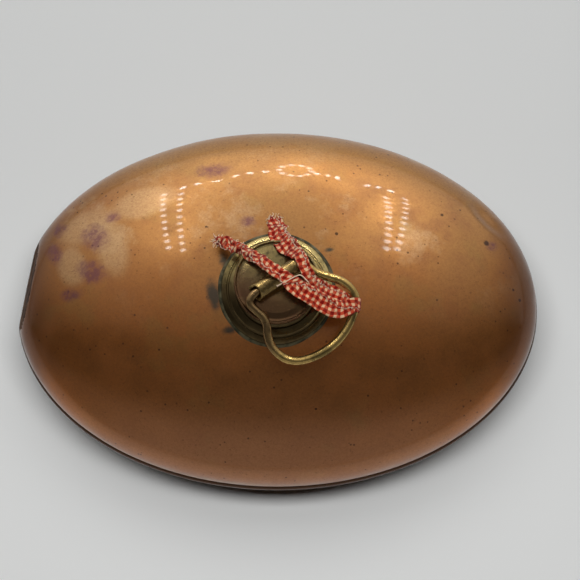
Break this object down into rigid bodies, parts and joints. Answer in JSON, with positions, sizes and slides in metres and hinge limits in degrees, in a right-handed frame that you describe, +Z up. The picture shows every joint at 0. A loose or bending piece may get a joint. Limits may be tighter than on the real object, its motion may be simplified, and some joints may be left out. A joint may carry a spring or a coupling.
{
  "type": "hot water bottle",
  "caption": "Oval copper hot-water bottle: two domed half shells with a folded seam, brass neck, screw stopper with a swinging wire bail and a cloth strip.",
  "frame": {"origin": "on the floor under the middle of the oval body", "axes": "+X along the body's long way, +Y across it towards its back, +Z up through the neck"},
  "size_m": [0.2796, 0.1944, 0.1194],
  "materials": {
    "copper": "aged copper, brown patina, semi-gloss",
    "brass": "aged brass, olive patina",
    "dark_brass": "dark grey-brown patina",
    "brass_wire": "rubbed satin",
    "solder": "dull grey soft solder",
    "leather": "dark, oiled",
    "gingham": "red and white small check cotton, frayed"
  },
  "bodies": {
    "bottle": {"upper_shell": "copper", "lower_shell": "copper", "seam_solder": "solder", "neck_flange": "brass", "flange_solder": "solder", "filler_neck": "brass", "neck_solder": "solder"},
    "washer": {"sealing_washer": "leather"},
    "stopper": {"stopper_cap": "dark_brass", "stopper_plug": "brass", "bail_barrel": "brass", "barrel_solder": "solder"},
    "bail": {"bail": "brass_wire", "rag_loop": "gingham", "rag_tail_front": "gingham", "rag_tail_back": "gingham"}
  },
  "joints": [
    {"name": "stopper_rise", "type": "slide", "parent": "bottle", "child": "washer", "axis": [0, 0, 1], "range_m": [0, 0.0151]},
    {"name": "stopper_turn", "type": "hinge", "parent": "washer", "child": "stopper", "pos_m": [0, 0, 0.1], "axis": [0, 0, 1], "range_deg": [0, 1800]},
    {"name": "bail_swing", "type": "hinge", "parent": "stopper", "child": "bail", "pos_m": [0, 0, 0.1125], "axis": [-0.829, -0.5592, 0], "range_deg": [0, 204], "deforming": ["rag_tail_front", "rag_tail_back"]}
  ],
  "couplings": [
    {"joint": "stopper_rise", "follows": "stopper_turn", "m_per_rad": 0.00047746}
  ]
}
